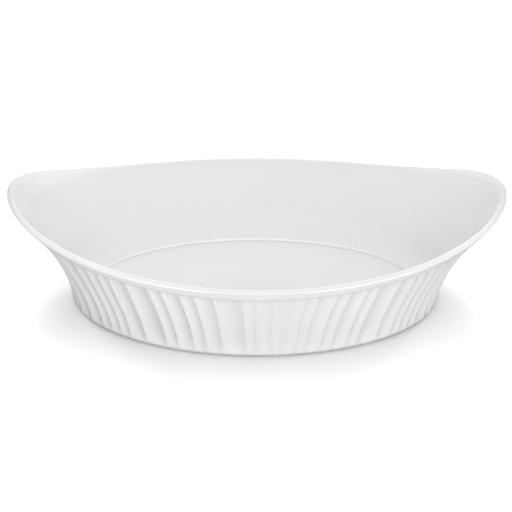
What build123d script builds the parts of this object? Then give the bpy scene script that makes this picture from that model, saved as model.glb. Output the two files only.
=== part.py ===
from build123d import *
import math
import os

# A gratin dish with a fluted wall, a smooth rim band and two raised ends that serve as grips.
# Millimetres, +Z up. The origin is the centre of the oval foot, on the table. X runs along the dish.

# The outside of the rim: its oval seen from above, which is pinched a little between its sides and ends,
# and its height at the sides, at the ends and, as an extra rise, between them
rim_length = 338.6
rim_width = 197.8
side_height = 55.8
end_height = 79.8
rim_rise_power = 4.4
quarter_rise = 2.2
rim_pinch_share = 0.032

# The oval it stands on, and how the outside flares from there to the rim
heel_length = 254.0
heel_width = 171.2
end_flare_power = 1.7
side_flare_power = 1.2

# Wall
wall_thickness = 4.0
cove_height = 15.0
heel_round_reach = 1.0
heel_round_height = 1.8

# Floor panel, which lies a small step below the cove
floor_length = 222.0
floor_width = 128.6
floor_thickness = 4.2
floor_step = 1.0

# Foot ring, the only part that touches the table
foot_height = 1.4
foot_ring_width = 6.5
foot_ring_inset = 1.6

# Rim band
rim_band_height = 5.8
rim_overhang = 0.7
rim_round_share = 0.3
joint_gap = 0.02

# Flutes: their widths from the left end along the front to the right end, then again along the back
flute_width_shares = [
    6.6, 6.2, 7.3, 8.0, 6.9, 4.6, 4.2, 4.0, 6.0, 7.3, 3.9, 5.0, 3.8, 4.8, 6.8, 3.3, 4.1,
    3.3, 3.8, 3.0, 4.8, 3.6, 5.0, 3.7, 7.3, 5.8, 4.0, 4.1, 4.4, 6.5, 6.9, 6.6, 7.0, 7.4,
]
flute_depth_share = 0.09
flute_depth_limit = 1.2
flute_lean = 5.2
end_lean = 3.0
flute_lean_power = 2.5
flute_fade_start = 2.0
flute_fade_end = 5.5

# How finely the forms are drawn
outside_level_shares = [0.0, 0.01, 0.025, 0.045, 0.075, 0.12, 0.18, 0.26, 0.36, 0.48, 0.61, 0.74, 0.87, 1.0]
cove_level_shares = [0.0, 0.06, 0.15, 0.3, 0.5, 0.75, 1.0]
inside_level_shares = [0.1, 0.2, 0.32, 0.46, 0.62, 0.8, 1.0]
rim_sections = 24
slope_step = 1.0
angle_step = 1.0


def rim_height(angle):
    """The height of the rim at an angle round the dish: low at the sides, raised at both ends."""
    end_rise = (end_height - side_height) * abs(math.cos(math.radians(angle))) ** rim_rise_power
    return side_height + end_rise + quarter_rise * math.sin(math.radians(2 * angle)) ** 2


def wall_point(angle, height):
    """A point on the outside of the wall, without its flutes."""
    share = max(height, 0) / rim_height(angle)
    along = (heel_length + (rim_length - heel_length) * share ** end_flare_power) / 2
    deep = (heel_width + (rim_width - heel_width) * share ** side_flare_power) / 2
    deep *= 1 - rim_pinch_share * share ** 2 * math.sin(math.radians(2 * angle)) ** 2
    return Vector(along * math.cos(math.radians(angle)), deep * math.sin(math.radians(angle)), height)


def wall_plane(angle, height):
    """A plane across the wall: its X points out, square to the wall, and its Y points up the wall."""
    round_wall = wall_point(angle + angle_step, height) - wall_point(angle - angle_step, height)
    up_wall = wall_point(angle, height + slope_step) - wall_point(angle, height - slope_step)
    outward = round_wall.cross(up_wall)
    return Plane(origin=wall_point(angle, height), x_dir=outward, z_dir=outward.cross(up_wall))


def joint_height(angle):
    """The height of the outside of the joint, one band height down the wall from the rim."""
    up_wall = wall_plane(angle, rim_height(angle)).y_dir
    return rim_height(angle) - rim_band_height * up_wall.Z


def joint_point(angle, inset):
    """A point in the joint between the wall and the rim band, square to the wall."""
    plane = wall_plane(angle, joint_height(angle))
    return plane.origin - plane.x_dir * inset


def level_inset(angle, height, inset):
    """The point of the outside drawn in without a change of height."""
    outward = wall_plane(angle, height).x_dir
    return wall_point(angle, height) - Vector(outward.X, outward.Y, 0).normalized() * inset


def heel_round(height):
    """How far the rounded heel draws in at a height."""
    above = min((height - foot_height) / heel_round_height, 1)
    return heel_round_reach * (1 - math.sqrt(1 - (1 - above) ** 2))


def flute_fade(height):
    """Nothing where the smooth heel ends, one above it."""
    share = (height - foot_height - flute_fade_start) / (flute_fade_end - flute_fade_start)
    share = min(max(share, 0), 1)
    return share * share * (3 - 2 * share)


def leaning_angle(turn, share):
    """The angle of a line that starts at a turn from the left end and leans towards the sides as it rises."""
    lean = flute_lean * math.sin(math.radians(2 * turn)) + end_lean * math.sin(math.radians(4 * turn))
    return 180 + turn + lean * share ** flute_lean_power


def outside_point(turn, share, depth):
    """A point on the outside, at a share of the way up from the foot to the joint, drawn in by a depth."""
    angle = leaning_angle(turn, share)
    height = foot_height + share * (joint_height(angle) - foot_height)
    return level_inset(angle, height, heel_round(height) + depth * flute_fade(height))


def cove_point(turn, share):
    """A point on the hollow curve that joins the floor to the inside of the wall."""
    angle = 180 + turn
    height = cove_bottom + share * cove_height
    steepness = wall_plane(angle, height).y_dir.Z
    inner = level_inset(angle, height, wall_thickness / steepness)
    edge_x = floor_length / 2 * math.cos(math.radians(angle))
    edge_y = floor_width / 2 * math.sin(math.radians(angle))
    draw_in = 1 - math.sqrt(1 - (1 - share) ** 2)
    return inner + (Vector(edge_x, edge_y, height) - inner) * draw_in


def inside_point(turn, share):
    """A point on the smooth inside of the wall, at a share of the way up from the cove to the joint."""
    angle = leaning_angle(turn, share)
    top = joint_point(angle, wall_thickness)
    height = cove_top + share * (top.Z - cove_top)
    steepness = wall_plane(angle, height).y_dir.Z
    inner = level_inset(angle, height, wall_thickness / steepness)
    level_top = level_inset(angle, top.Z, wall_thickness / wall_plane(angle, top.Z).y_dir.Z)
    return inner + (top - level_top) * share


def ridge_turns():
    """The angles of the ridges between flutes, once round the oval."""
    turns = [0]
    for share in flute_width_shares + flute_width_shares:
        turns.append(turns[-1] + 180 * share / sum(flute_width_shares))
    return turns


def loop(place):
    """A closed loop with one arc for each flute, through the points that place gives."""
    arcs = []
    for turn, next_turn in zip(turns, turns[1:]):
        middle = place((turn + next_turn) / 2)
        arcs.append(Edge.make_three_point_arc(place(turn), middle, place(next_turn)))
    return Wire(arcs)


def outside_loop(share):
    """The outline of the fluted outside at a share of its height."""
    arcs = []
    for turn, next_turn in zip(turns, turns[1:]):
        start = outside_point(turn, share, 0)
        end = outside_point(next_turn, share, 0)
        depth = min(flute_depth_share * (end - start).length, flute_depth_limit)
        middle = outside_point((turn + next_turn) / 2, share, depth)
        arcs.append(Edge.make_three_point_arc(start, middle, end))
    return Wire(arcs)


def ring_between(lower, upper):
    """The faces that join two loops, one for each flute."""
    return [Face.make_surface_from_curves(low, high) for low, high in zip(lower.edges(), upper.edges())]


floor_top = foot_height + floor_thickness
cove_bottom = floor_top + floor_step
cove_top = cove_bottom + cove_height
turns = ridge_turns()

# The fluted wall, from the heel up to the joint under the rim band, closed up from faces that share edges
outside_loops = [outside_loop(share) for share in outside_level_shares]
inside_loops = [loop(lambda turn: cove_point(turn, share)) for share in cove_level_shares]
inside_loops += [loop(lambda turn: inside_point(turn, share)) for share in inside_level_shares]
floor_loop = inside_loops[0].moved(Location((0, 0, foot_height - cove_bottom)))
wall_faces = [*Shell.make_loft(outside_loops).faces(), *Shell.make_loft(inside_loops).faces()]
wall_faces += ring_between(outside_loops[-1], inside_loops[-1])
wall_faces += ring_between(floor_loop, inside_loops[0])
wall_faces.append(Face(outside_loops[0], [floor_loop]))
with BuildPart() as fluted_wall:
    add(Solid(Shell(wall_faces)))
fluted_wall.part.label = "fluted_wall"

# The rim band along the front, carried past both ends, then cut at the ends and mirrored to the back
with BuildPart() as rim_band:
    for number in range(-1, rim_sections + 2):
        angle = 180 + 180 * number / rim_sections
        width = wall_thickness + rim_overhang
        with BuildSketch(wall_plane(angle, joint_height(angle))) as section:
            with Locations((rim_overhang, rim_band_height)):
                Rectangle(width, rim_band_height - joint_gap, align=(Align.MAX, Align.MAX))
            fillet(section.vertices().group_by(Axis.Y)[-1], rim_round_share * width)
    loft()
    split(bisect_by=Plane.XZ, keep=Keep.TOP)
    mirror(about=Plane.XZ)
rim_band.part.label = "rim_band"

# The floor panel, closed in by the wall
with BuildPart() as floor:
    with BuildSketch(Plane.XY.offset(foot_height)):
        add(Face(floor_loop.moved(Location((0, 0, -foot_height)))))
    extrude(amount=floor_thickness)
floor.part.label = "floor"

# The foot ring under the heel, bare of glaze where it stands
with BuildPart() as foot_ring:
    with BuildSketch(Plane.XY):
        foot_along = heel_length / 2 - foot_ring_inset
        foot_deep = heel_width / 2 - foot_ring_inset
        Ellipse(foot_along, foot_deep)
        Ellipse(foot_along - foot_ring_width, foot_deep - foot_ring_width, mode=Mode.SUBTRACT)
    extrude(amount=foot_height)
foot_ring.part.label = "foot_ring"

os.makedirs("parts", exist_ok=True)
export_step(floor.part, "parts/floor.step")
export_step(foot_ring.part, "parts/foot_ring.step")
export_step(fluted_wall.part, "parts/fluted_wall.step")
export_step(rim_band.part, "parts/rim_band.step")
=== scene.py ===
import math

import bpy
from mathutils import Matrix, Vector


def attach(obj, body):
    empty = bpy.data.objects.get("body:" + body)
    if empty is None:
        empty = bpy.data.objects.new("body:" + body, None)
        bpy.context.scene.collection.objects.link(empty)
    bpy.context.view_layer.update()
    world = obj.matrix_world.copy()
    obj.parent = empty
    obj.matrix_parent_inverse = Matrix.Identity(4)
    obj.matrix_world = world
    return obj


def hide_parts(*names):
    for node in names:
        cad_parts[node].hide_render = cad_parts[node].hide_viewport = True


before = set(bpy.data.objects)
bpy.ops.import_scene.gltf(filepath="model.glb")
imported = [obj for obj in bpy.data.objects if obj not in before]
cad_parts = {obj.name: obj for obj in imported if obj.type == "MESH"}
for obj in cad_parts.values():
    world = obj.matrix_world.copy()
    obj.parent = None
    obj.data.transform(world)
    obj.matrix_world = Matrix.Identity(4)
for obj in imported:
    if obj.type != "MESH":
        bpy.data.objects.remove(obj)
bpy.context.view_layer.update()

# The dish's sizes, in metres, as in the part's source
RIM_LENGTH = 0.3386
RIM_WIDTH = 0.1978
SIDE_HEIGHT = 0.0558
END_HEIGHT = 0.0798
RIM_RISE_POWER = 4.4
QUARTER_RISE = 0.0022
RIM_PINCH_SHARE = 0.032
HEEL_LENGTH = 0.254
HEEL_WIDTH = 0.1712
END_FLARE_POWER = 1.7
SIDE_FLARE_POWER = 1.2
WALL_THICKNESS = 0.004
COVE_HEIGHT = 0.015
HEEL_ROUND_REACH = 0.001
HEEL_ROUND_HEIGHT = 0.0018
FLOOR_LENGTH = 0.222
FLOOR_WIDTH = 0.1286
FLOOR_THICKNESS = 0.0042
FLOOR_STEP = 0.001
FOOT_HEIGHT = 0.0014
FOOT_RING_WIDTH = 0.0065
FOOT_RING_INSET = 0.0016
RIM_BAND_HEIGHT = 0.0058
RIM_OVERHANG = 0.0007
FLOOR_TOP = FOOT_HEIGHT + FLOOR_THICKNESS
COVE_BOTTOM = FLOOR_TOP + FLOOR_STEP
COVE_TOP = COVE_BOTTOM + COVE_HEIGHT
SLOPE_STEP = 0.001
ANGLE_STEP = 1.0

# Flutes: their widths from the left end along the front to the right end, then again along the back
FLUTE_WIDTHS = [
    6.6, 6.2, 7.3, 8.0, 6.9, 4.6, 4.2, 4.0, 6.0, 7.3, 3.9, 5.0, 3.8, 4.8, 6.8, 3.3, 4.1,
    3.3, 3.8, 3.0, 4.8, 3.6, 5.0, 3.7, 7.3, 5.8, 4.0, 4.1, 4.4, 6.5, 6.9, 6.6, 7.0, 7.4,
]
FLUTE_DEPTH_SHARE = 0.18
FLUTE_DEPTH_MORE = 0.08
FLUTE_DEPTH_LIMIT = 0.003
FLUTE_POWER = 2
FLUTE_LEAN = 5.2
END_LEAN = 3.0
FLUTE_LEAN_POWER = 2.5
FLUTE_FADE = 0.014
FLUTE_FADE_POWER = 0.8
ACROSS_FLUTE = [0.0, 0.035, 0.08, 0.15, 0.25, 0.37, 0.5, 0.63, 0.75, 0.85, 0.92, 0.965]

# Soft edges that the glaze leaves: on the ridges, at the flutes' tops, on the band and round the floor.
# The band's outer edge is rounder at the raised ends, and its outer face leans in along the sides.
RIDGE_ROUND = 0.00015
SCOOP_REACH = 0.0016
SCOOP_CORNER = 0.0025
BAND_ROUND = 0.0009
END_ROUND = 0.0015
END_POWER = 4
BAND_SLANT = 0.0004
SLANT_POWER = 1.3
LIP_ROUND = 0.0004
STEP_ROUND = 0.0018
STEP_RAISE = 0.0009
STEP_FILLET = 0.00015
RING_ROUND = 0.0005
SMOOTH_ANGLE = math.radians(40)
FLOOR_INSET = 0.002

# Rows of the wall's mesh, in millimetres above the foot and below the joint, with even rows between
MILLIMETRE = 0.001
HEEL_ROWS = [0.0, 0.08, 0.2, 0.4, 0.65, 1.0, 1.4, 1.8, 2.2, 2.6, 3.1, 3.6, 4.2, 5.0]
WALL_ROWS = 13
SCOOP_ROWS = [5.0, 4.3, 3.7, 3.2, 2.7, 2.2, 1.8, 1.5, 1.2, 0.9, 0.7, 0.5, 0.3, 0.1, 0.0]
INSIDE_ROWS = 16
COVE_ROWS = 15
ROUND_ROWS = 8
FACE_ROWS = 5
LIP_ROWS = 4

# Painted light in the glaze's colour, as shares of the strength below: painted highlights where positive,
# painted shade on faces and in creases where negative. The band's inner face and flat top: a height or a
# place across, and the painted highlight or shade there.
PAINTED_LIGHT_STRENGTH = 0.13
CREASE_PAINTED_SHADE = -1
BAND_INNER_FACE = [(0, 0.15), (0.0013, 0.6), (0.0026, 1)]
BAND_FLAT_TOP = [(-0.0028, -0.3), (-0.0024, -0.4)]
END_INNER_PAINTED_HIGHLIGHT = 0.6
INNER_EDGE_PAINTED_HIGHLIGHT = 1.5
INNER_EDGE_FADE = 4
OUTER_EDGE_PAINTED_SHADE = -0.4
OUTER_FACE_PAINTED_SHADE = -0.65

# The floor's rolled edge: the painted highlight on its crown, how narrow that is, the painted shade beside it
# and its fading at the ends
STEP_CROWN_PAINTED_HIGHLIGHT = 1.9
STEP_CROWN_REACH = 1.15
STEP_BASE_PAINTED_SHADE = -0.9
STEP_END_POWER = 1.5

# A painted glint, a highlight in the colour, on the band's outer edge, between two shares of the way from the
# middle of a side to an end
PAINTED_GLINT = 1.5
GLINT_START, GLINT_RISE = 0.14, 0.1
GLINT_END, GLINT_FALL = 0.75, 0.15

# The studio: the table, the light from all round, and the camera's place and aim, in metres and radians
TABLE_SIZE = 5
TABLE_BOUNCE = 0.36
TABLE_SEEN = 0.9
WORLD_LIGHT = 0.584
AIM_HEIGHT = 0.03
CAMERA_DISTANCE = 1.360
CAMERA_ELEVATION = math.radians(30)
CAMERA_AROUND = 0.05
CAMERA_AIM = {"X": 0.01865, "Y": 0.00024, "Z": 0.02}
CAMERA_LENS = 137.52


def rim_height(angle):
    """The height of the rim at an angle round the dish, in degrees: low at the sides, raised at both ends."""
    end_rise = (END_HEIGHT - SIDE_HEIGHT) * abs(math.cos(math.radians(angle))) ** RIM_RISE_POWER
    return SIDE_HEIGHT + end_rise + QUARTER_RISE * math.sin(math.radians(2 * angle)) ** 2


def wall_point(angle, height):
    """A point on the outside of the wall, without its flutes."""
    share = max(height, 0) / rim_height(angle)
    along = (HEEL_LENGTH + (RIM_LENGTH - HEEL_LENGTH) * share ** END_FLARE_POWER) / 2
    deep = (HEEL_WIDTH + (RIM_WIDTH - HEEL_WIDTH) * share ** SIDE_FLARE_POWER) / 2
    deep *= 1 - RIM_PINCH_SHARE * share ** 2 * math.sin(math.radians(2 * angle)) ** 2
    return Vector((along * math.cos(math.radians(angle)), deep * math.sin(math.radians(angle)), height))


def wall_directions(angle, height):
    """The directions out of the wall, square to it, and up the wall."""
    round_wall = wall_point(angle + ANGLE_STEP, height) - wall_point(angle - ANGLE_STEP, height)
    up_wall = wall_point(angle, height + SLOPE_STEP) - wall_point(angle, height - SLOPE_STEP)
    return round_wall.cross(up_wall).normalized(), up_wall.normalized()


def joint_height(angle):
    """The height of the outside of the joint under the rim band."""
    return rim_height(angle) - RIM_BAND_HEIGHT * wall_directions(angle, rim_height(angle))[1].z


def level_inset(angle, height, inset):
    """The point of the outside drawn in without a change of height."""
    outward = wall_directions(angle, height)[0]
    return wall_point(angle, height) - Vector((outward.x, outward.y, 0)).normalized() * inset


def leaning_angle(turn, share):
    """The angle of a line that starts at a turn from the left end and leans towards the sides as it rises."""
    lean = FLUTE_LEAN * math.sin(math.radians(2 * turn)) + END_LEAN * math.sin(math.radians(4 * turn))
    return 180 + turn + lean * share ** FLUTE_LEAN_POWER


def heel_round(height):
    """How far the rounded heel draws in at a height."""
    above = min((height - FOOT_HEIGHT) / HEEL_ROUND_HEIGHT, 1)
    return HEEL_ROUND_REACH * (1 - math.sqrt(1 - (1 - above) ** 2))


def flute_depth(column, height, top):
    """How deep a flute is: hollow across, with a rounded scoop at its top and a soft fade at the heel."""
    turn, across, width = column
    corner = min(width / 2, SCOOP_CORNER)
    past_middle = max(abs(2 * across - 1) * width / 2 - (width / 2 - corner), 0) / corner
    arch = top - corner * (1 - math.sqrt(max(1 - past_middle ** 2, 0)))
    below_arch = min(max((arch - height) / SCOOP_REACH, 0), 1)
    above_heel = min(max((height - FOOT_HEIGHT) / FLUTE_FADE, 0), 1)
    fade = math.sqrt(1 - (1 - below_arch) ** 2) * math.sin(math.pi / 2 * above_heel) ** FLUTE_FADE_POWER
    depth_share = FLUTE_DEPTH_SHARE + FLUTE_DEPTH_MORE * math.cos(math.radians(turn)) ** 2
    hollow = min(depth_share * width, FLUTE_DEPTH_LIMIT) * (1 - abs(2 * across - 1) ** FLUTE_POWER)
    return math.hypot(hollow * fade, RIDGE_ROUND)


def make_columns():
    """The columns of the mesh: the turn from the left end, the place across a flute and the flute's width."""
    columns = []
    turn = 0
    for width_share in FLUTE_WIDTHS + FLUTE_WIDTHS:
        width_turn = 180 * width_share / sum(FLUTE_WIDTHS)
        start = wall_point(180 + turn, SIDE_HEIGHT / 2)
        end = wall_point(180 + turn + width_turn, SIDE_HEIGHT / 2)
        for across in ACROSS_FLUTE:
            columns.append((turn + across * width_turn, across, (end - start).length))
        turn += width_turn
    return columns


def outside_point(column, zone, amount):
    """A point on the outside: millimetres above the foot or below the joint, or a share between them."""
    top = joint_height(leaning_angle(column[0], 1)) - FOOT_HEIGHT
    heel_zone = HEEL_ROWS[-1] * MILLIMETRE
    scoop_zone = top - SCOOP_ROWS[0] * MILLIMETRE
    if zone == "heel":
        share = amount * MILLIMETRE / top
    elif zone == "scoop":
        share = 1 - amount * MILLIMETRE / top
    else:
        share = (heel_zone + (scoop_zone - heel_zone) * amount) / top
    angle = leaning_angle(column[0], share)
    height = FOOT_HEIGHT + share * (joint_height(angle) - FOOT_HEIGHT)
    return level_inset(angle, height, heel_round(height) + flute_depth(column, height, joint_height(angle)))


def joint_point(angle, out, up):
    """A point near the joint, measured from the joint's outside: out of the wall and up the wall."""
    height = joint_height(angle)
    outward, up_wall = wall_directions(angle, height)
    return wall_point(angle, height) + outward * out + up_wall * up


def inner_wall(angle, height):
    """The inside of the wall at a height, its thickness measured square to the wall."""
    return level_inset(angle, height, WALL_THICKNESS / wall_directions(angle, height)[1].z)


def inside_point(column, share):
    """A point on the smooth inside, at a share of the way up from the cove to the joint."""
    angle = leaning_angle(column[0], share)
    top = joint_point(angle, -WALL_THICKNESS, 0)
    height = COVE_TOP + share * (top.z - COVE_TOP)
    return inner_wall(angle, height) + (top - inner_wall(angle, top.z)) * share


def floor_edge(column, out, height):
    """A point beside the edge of the floor panel, a distance out from it."""
    angle = math.radians(180 + column[0])
    edge = Vector((FLOOR_LENGTH / 2 * math.cos(angle), FLOOR_WIDTH / 2 * math.sin(angle), height))
    outward = Vector((FLOOR_WIDTH * math.cos(angle), FLOOR_LENGTH * math.sin(angle), 0)).normalized()
    return edge + outward * out


def cove_point(column, share):
    """A point on the hollow curve between the floor's edge and the inside of the wall."""
    height = COVE_BOTTOM + share * COVE_HEIGHT
    inner = inner_wall(180 + column[0], height)
    draw_in = 1 - math.sqrt(1 - (1 - share) ** 2)
    raised = Vector((0, 0, STEP_RAISE * (1 - share)))
    return inner + (floor_edge(column, STEP_ROUND, height) - inner) * draw_in + raised


def quarter_turn(rows):
    """Equal steps of a quarter turn, each with its share of the turn and its angle."""
    return [(row / rows, math.pi / 2 * row / rows) for row in range(rows + 1)]


def step_painted_light(share):
    """The painted light at a share of the way over the floor's rolled edge: a painted highlight on the crown,
    then painted shade in the crease.
    """
    if share > 1 - 1.5 / ROUND_ROWS:
        return CREASE_PAINTED_SHADE
    return STEP_CROWN_PAINTED_HIGHLIGHT * math.sqrt(math.sin(math.pi * min(share * STEP_CROWN_REACH, 1))) + STEP_BASE_PAINTED_SHADE


def wall_section(column):
    """Points round the wall's section with their painted highlight or shade: up the outside, down the inside,
    to the heel.
    """
    line = [(outside_point(column, "heel", amount), 0) for amount in HEEL_ROWS]
    line += [(outside_point(column, "wall", row / WALL_ROWS), 0) for row in range(1, WALL_ROWS)]
    line += [(outside_point(column, "scoop", amount), 0) for amount in SCOOP_ROWS]
    line += [(inside_point(column, 1 - row / INSIDE_ROWS), 0) for row in range(INSIDE_ROWS)]
    line += [(cove_point(column, 1 - math.sin(bend)), 0) for share, bend in quarter_turn(COVE_ROWS)]
    step_top = COVE_BOTTOM + STEP_RAISE
    # The floor's rolled edge, with a painted highlight on its crown and painted shade in the crease, fading
    # towards the ends
    for share, bend in quarter_turn(ROUND_ROWS)[1:]:
        drop = (step_top - FLOOR_TOP - STEP_FILLET) * (1 - math.cos(bend))
        point = floor_edge(column, STEP_ROUND * (1 - math.sin(bend)), step_top - drop)
        line.append((point, step_painted_light(share) * abs(math.sin(math.radians(column[0]))) ** STEP_END_POWER))
    # The fillet into the floor, with painted shade in its crease
    for share, bend in quarter_turn(ROUND_ROWS)[1:]:
        height = FLOOR_TOP + STEP_FILLET * (1 - math.sin(bend))
        line.append((floor_edge(column, -STEP_FILLET * (1 - math.cos(bend)), height), CREASE_PAINTED_SHADE))
    line.append((floor_edge(column, 0, FOOT_HEIGHT), 0))
    return line


def band_section(column):
    """Points round the band's section with their painted highlight or shade: up the inside, over the top,
    down the outside.
    """
    top = RIM_BAND_HEIGHT
    along = abs(math.cos(math.radians(column[0])))
    at_end = along ** END_POWER
    glint = min(max((along - GLINT_START) / GLINT_RISE, 0), 1)
    glint *= min(max((GLINT_END - along) / GLINT_FALL, 0), 1)
    outer_round = BAND_ROUND + END_ROUND * at_end
    slant = BAND_SLANT * (1 - at_end)
    inner = END_INNER_PAINTED_HIGHLIGHT * at_end
    # The inner face, with a painted highlight towards the raised ends
    outline = [(-WALL_THICKNESS, height, inner * pale) for height, pale in BAND_INNER_FACE]
    # The inner edge: a painted highlight along the sides, which turns to painted shade at the very ends
    for share, bend in quarter_turn(ROUND_ROWS):
        out, down = BAND_ROUND * (1 - math.cos(bend)), BAND_ROUND * (1 - math.sin(bend))
        pale = inner + (INNER_EDGE_PAINTED_HIGHLIGHT - INNER_EDGE_FADE * inner) * math.sin(bend) ** 3
        outline.append((-WALL_THICKNESS + out, top - down, pale))
    # The flat top, darkened with painted shade
    outline += [(out, top, pale) for out, pale in BAND_FLAT_TOP]
    # The outer edge: a painted glint along part of the sides, over painted shade
    for share, bend in quarter_turn(ROUND_ROWS):
        out, down = outer_round * (1 - math.sin(bend)), outer_round * (1 - math.cos(bend))
        pale = PAINTED_GLINT * glint * math.sin(math.pi * share ** 2) + OUTER_EDGE_PAINTED_SHADE * (1 + share)
        outline.append((RIM_OVERHANG - slant - out, top - down, pale))
    # The outer face, darkened with painted shade
    for share in [row / FACE_ROWS for row in range(1, FACE_ROWS)]:
        down = outer_round + (top - outer_round - LIP_ROUND) * share
        outline.append((RIM_OVERHANG - slant * (1 - share) ** SLANT_POWER, top - down, OUTER_FACE_PAINTED_SHADE))
    # The lip under the band, with painted shade in its crease
    for share, bend in quarter_turn(LIP_ROWS):
        out, up = RIM_OVERHANG - LIP_ROUND * (1 - math.cos(bend)), LIP_ROUND * (1 - math.sin(bend))
        outline.append((out, up, CREASE_PAINTED_SHADE))
    angle = leaning_angle(column[0], 1)
    return [(joint_point(angle, out, up), pale) for out, up, pale in outline]


def rolled_sheet(name, section):
    """A closed piece with one section for each column, rolled up from a flat grid and joined at its seams."""
    lines = [section(column) for column in columns]
    across, along = len(lines), len(lines[0])
    bpy.ops.object.select_all(action="DESELECT")
    bpy.ops.mesh.primitive_grid_add(x_subdivisions=across, y_subdivisions=along, size=1)
    piece = bpy.context.object
    piece.name = piece.data.name = name
    # Painted highlights and painted shade, one value for each point, which the glaze turns into colour
    painted_light_values = piece.data.attributes.new("painted_light_shade", "FLOAT", "POINT")
    for vertex in piece.data.vertices:
        column = round((vertex.co.x + 0.5) * across) % across
        row = round((vertex.co.y + 0.5) * along) % along
        vertex.co, painted_light_values.data[vertex.index].value = lines[column][row]
    bpy.ops.object.mode_set(mode="EDIT")
    bpy.ops.mesh.select_all(action="SELECT")
    bpy.ops.mesh.remove_doubles(threshold=0.000002)
    bpy.ops.mesh.normals_make_consistent(inside=False)
    bpy.ops.object.mode_set(mode="OBJECT")
    bpy.ops.object.shade_smooth_by_angle(angle=SMOOTH_ANGLE)
    return piece


def floor_panel():
    """The flat floor: an oval disc, its flat faces inset so that they shade evenly."""
    bpy.ops.object.select_all(action="DESELECT")
    bpy.ops.mesh.primitive_cylinder_add(
        vertices=192, radius=1, depth=FLOOR_THICKNESS, end_fill_type="NGON",
        location=(0, 0, FOOT_HEIGHT + FLOOR_THICKNESS / 2), scale=(FLOOR_LENGTH / 2, FLOOR_WIDTH / 2, 1))
    piece = bpy.context.object
    piece.name = piece.data.name = "floor_panel"
    bpy.ops.object.transform_apply(location=True, rotation=False, scale=True)
    bpy.ops.object.mode_set(mode="EDIT")
    bpy.ops.mesh.select_mode(type="FACE")
    bpy.ops.mesh.select_all(action="DESELECT")
    bpy.ops.mesh.select_face_by_sides(number=4, type="GREATER")
    bpy.ops.mesh.inset(thickness=FLOOR_INSET)
    bpy.ops.object.mode_set(mode="OBJECT")
    bpy.ops.object.shade_smooth_by_angle(angle=SMOOTH_ANGLE)
    return piece


def standing_ring():
    """The bare foot ring: an oval hoop given its width, with softly worn edges."""
    bpy.ops.object.select_all(action="DESELECT")
    bpy.ops.mesh.primitive_cylinder_add(
        vertices=256, radius=1, depth=FOOT_HEIGHT, end_fill_type="NOTHING", location=(0, 0, FOOT_HEIGHT / 2),
        scale=(HEEL_LENGTH / 2 - FOOT_RING_INSET, HEEL_WIDTH / 2 - FOOT_RING_INSET, 1))
    piece = bpy.context.object
    piece.name = piece.data.name = "standing_ring"
    bpy.ops.object.transform_apply(location=True, rotation=False, scale=True)
    bpy.ops.object.modifier_add(type="SOLIDIFY")
    piece.modifiers[-1].thickness = FOOT_RING_WIDTH
    piece.modifiers[-1].offset = -1
    bpy.ops.object.modifier_apply(modifier=piece.modifiers[-1].name)
    bpy.ops.object.modifier_add(type="BEVEL")
    piece.modifiers[-1].width = RING_ROUND
    piece.modifiers[-1].segments = 4
    piece.modifiers[-1].angle_limit = SMOOTH_ANGLE
    bpy.ops.object.modifier_apply(modifier=piece.modifiers[-1].name)
    bpy.ops.object.shade_smooth_by_angle(angle=SMOOTH_ANGLE)
    return piece


def new_material(name):
    """A node material and its main shader."""
    material = bpy.data.materials.new(name)
    material.use_nodes = True
    return material, material.node_tree.nodes["Principled BSDF"]


def noise(material, scale, detail):
    """A cloudy pattern that follows the piece."""
    tree = material.node_tree
    place = tree.nodes.new("ShaderNodeTexCoord")
    pattern = tree.nodes.new("ShaderNodeTexNoise")
    pattern.inputs["Scale"].default_value = scale
    pattern.inputs["Detail"].default_value = detail
    tree.links.new(place.outputs["Object"], pattern.inputs["Vector"])
    return pattern.outputs["Fac"]


def ramp(material, pattern, low, high, low_colour, high_colour):
    """Two colours with a soft change between them where the pattern goes from low to high."""
    tree = material.node_tree
    colours = tree.nodes.new("ShaderNodeValToRGB")
    colours.color_ramp.elements[0].position = low
    colours.color_ramp.elements[1].position = high
    colours.color_ramp.elements[0].color = (*low_colour, 1)
    colours.color_ramp.elements[1].color = (*high_colour, 1)
    tree.links.new(pattern, colours.inputs["Fac"])
    return colours.outputs["Color"]


def white_glaze():
    """Glossy clear glaze on white porcelain, with a slight ripple and faint clouds, its colour lightened by
    painted highlights on edges and darkened by painted shade on faces and in creases.
    """
    material, shader = new_material("white_glaze")
    tree = material.node_tree
    clouds = ramp(material, noise(material, 22, 3), 0.3, 0.7, (0.850, 0.852, 0.848), (0.868, 0.867, 0.862))
    # Painted highlights and painted shade from the mesh, scaled into the colour
    painted_light_shade = tree.nodes.new("ShaderNodeAttribute")
    painted_light_shade.attribute_name = "painted_light_shade"
    share = tree.nodes.new("ShaderNodeMath")
    share.operation = "MULTIPLY_ADD"
    share.inputs[1].default_value = PAINTED_LIGHT_STRENGTH
    share.inputs[2].default_value = 1
    tree.links.new(painted_light_shade.outputs["Fac"], share.inputs[0])
    colour = tree.nodes.new("ShaderNodeVectorMath")
    colour.operation = "SCALE"
    tree.links.new(clouds, colour.inputs[0])
    tree.links.new(share.outputs[0], colour.inputs["Scale"])
    tree.links.new(colour.outputs[0], shader.inputs["Base Color"])
    gloss = ramp(material, noise(material, 60, 2), 0.3, 0.7, (0.06, 0.06, 0.06), (0.10, 0.10, 0.10))
    tree.links.new(gloss, shader.inputs["Roughness"])
    ripple = tree.nodes.new("ShaderNodeBump")
    ripple.inputs["Strength"].default_value = 0.35
    ripple.inputs["Distance"].default_value = 0.0002
    tree.links.new(noise(material, 45, 2), ripple.inputs["Height"])
    tree.links.new(ripple.outputs["Normal"], shader.inputs["Normal"])
    shader.inputs["IOR"].default_value = 1.5
    return material


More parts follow.
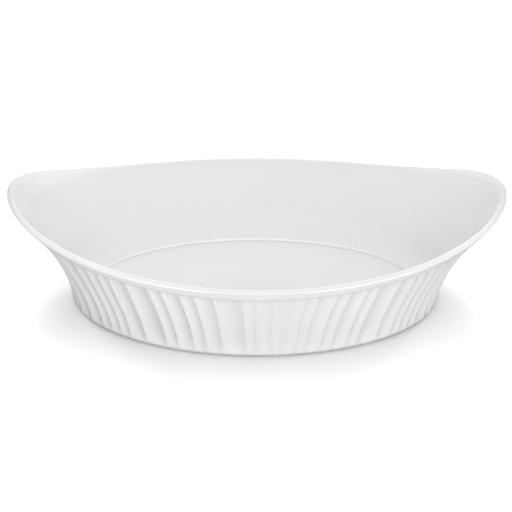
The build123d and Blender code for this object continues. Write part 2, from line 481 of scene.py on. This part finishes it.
def bare_porcelain():
    """Unglazed porcelain of the foot: matte, with a fine grain and faint grey rub marks."""
    material, shader = new_material("bare_foot")
    tree = material.node_tree
    marks = ramp(material, noise(material, 90, 5), 0.35, 0.65, (0.74, 0.73, 0.70), (0.82, 0.81, 0.785))
    tree.links.new(marks, shader.inputs["Base Color"])
    grain = tree.nodes.new("ShaderNodeBump")
    grain.inputs["Strength"].default_value = 0.5
    grain.inputs["Distance"].default_value = 0.00008
    tree.links.new(noise(material, 2600, 4), grain.inputs["Height"])
    tree.links.new(grain.outputs["Normal"], shader.inputs["Normal"])
    shader.inputs["Roughness"].default_value = 0.75
    return material


def studio_floor():
    """A pale table top. It is white to the camera, and gives less light back to the dish than it shows."""
    bpy.ops.object.select_all(action="DESELECT")
    bpy.ops.mesh.primitive_plane_add(size=TABLE_SIZE)
    table = bpy.context.object
    table.name = table.data.name = "table_top"
    material, shader = new_material("pale_table")
    tree = material.node_tree
    shader.inputs["Roughness"].default_value = 0.9
    shader.inputs["Specular IOR Level"].default_value = 0.0
    seen = tree.nodes.new("ShaderNodeLightPath").outputs["Is Camera Ray"]
    shade = ramp(material, seen, 0, 1, (TABLE_BOUNCE,) * 3, (TABLE_SEEN,) * 3)
    tree.links.new(shade, shader.inputs["Base Color"])
    table.data.materials.append(material)
    return table


def studio_world():
    """Even light from all round. The camera sees plain white."""
    world = bpy.data.worlds.new("studio")
    world.use_nodes = True
    bpy.context.scene.world = world
    tree = world.node_tree
    soft = tree.nodes["Background"]
    soft.inputs["Color"].default_value = (1, 1, 1, 1)
    soft.inputs["Strength"].default_value = WORLD_LIGHT
    white = tree.nodes.new("ShaderNodeBackground")
    white.inputs["Color"].default_value = (1, 1, 1, 1)
    white.inputs["Strength"].default_value = 1
    rays = tree.nodes.new("ShaderNodeLightPath")
    either = tree.nodes.new("ShaderNodeMixShader")
    tree.links.new(rays.outputs["Is Camera Ray"], either.inputs["Fac"])
    tree.links.new(soft.outputs["Background"], either.inputs[1])
    tree.links.new(white.outputs["Background"], either.inputs[2])
    tree.links.new(either.outputs["Shader"], tree.nodes["World Output"].inputs["Surface"])


def softbox(name, place, size, power, shows, receivers):
    """A soft lamp of a width and height. It lights the receivers alone, in their gloss or their matt."""
    bpy.ops.object.light_add(type="AREA", location=place)
    lamp = bpy.context.object
    lamp.name = lamp.data.name = name
    lamp.data.shape = "RECTANGLE"
    lamp.data.size, lamp.data.size_y = size
    lamp.data.energy = power
    lamp.visible_glossy = shows == "gloss"
    lamp.visible_diffuse = shows == "matt"
    lamp.rotation_euler = (Vector((0, 0, AIM_HEIGHT)) - Vector(place)).to_track_quat("-Z", "Y").to_euler()
    group = bpy.data.collections.new(name)
    for receiver in receivers:
        group.objects.link(receiver)
    lamp.light_linking.receiver_collection = group


def camera():
    """A long lens that looks down by thirty degrees, past the dish turned by about three."""
    level = CAMERA_DISTANCE * math.cos(CAMERA_ELEVATION)
    height = CAMERA_DISTANCE * math.sin(CAMERA_ELEVATION)
    place = Vector((-level * math.sin(CAMERA_AROUND), -level * math.cos(CAMERA_AROUND), height))
    bpy.ops.object.camera_add(location=place)
    eye = bpy.context.object
    eye.data.sensor_width = 36
    eye.data.lens = CAMERA_LENS
    eye.data.clip_start = 0.01
    aim = (-place).to_track_quat("-Z", "Y").to_matrix()
    for axis, turn in CAMERA_AIM.items():
        aim = aim @ Matrix.Rotation(turn, 3, axis)
    eye.rotation_euler = aim.to_euler()
    bpy.context.scene.camera = eye


# The dish
columns = make_columns()
glaze = white_glaze()
bare = bare_porcelain()
pieces = [
    (rolled_sheet("fluted_side", wall_section), "fluted_wall", "white_glaze", glaze),
    (rolled_sheet("rolled_rim", band_section), "rim_band", "white_glaze", glaze),
    (floor_panel(), "floor", "white_glaze", glaze),
    (standing_ring(), "foot_ring", "bare_foot", bare),
]
for piece, node, slot, material in pieces:
    piece.data.materials.append(material)
    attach(piece, "root")
    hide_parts(node)

# The studio: lamps for the dish, a strip in the rim's gloss, and lamps for the table alone
table = studio_floor()
studio_world()
dish = [piece for piece, node, slot, material in pieces]
wall, rim, floor = dish[:3]
softbox("front_lamp", (0, -1.3, 0.75), (0.8, 0.8), 3.4, "matt", dish)
softbox("high_lamp", (0, -0.9, 1.3), (1.0, 1.0), 6.0, "matt", dish)
softbox("back_lamp", (0, 0.9, 1.2), (1.0, 1.0), 3.0, "matt", dish)
softbox("right_lamp", (1.3, -0.3, 0.7), (0.8, 0.8), 1.4, "matt", [wall, floor])
softbox("low_lamp", (0.2, -1.45, 0.035), (0.9, 0.05), 5.6, "matt", dish)
softbox("rim_strip", (0, -0.3, 1.4), (0.8, 1.0), 2.3, "gloss", [rim])
softbox("table_sky", (0, 0.01, 2.2), (8.0, 8.0), 116.0, "matt", [table])
softbox("table_back", (0, 0.9, 1.2), (1.0, 1.0), 19.5, "matt", [table])
softbox("table_top_light", (0, 0.01, 1.6), (1.4, 1.4), 5.5, "matt", [table])
softbox("table_left", (-0.9, 1.1, 0.4), (0.5, 0.5), 10.0, "matt", [table])
softbox("table_right", (0.9, 1.1, 0.4), (0.5, 0.5), 10.0, "matt", [table])
camera()
bpy.context.scene.view_settings.view_transform = "Standard"
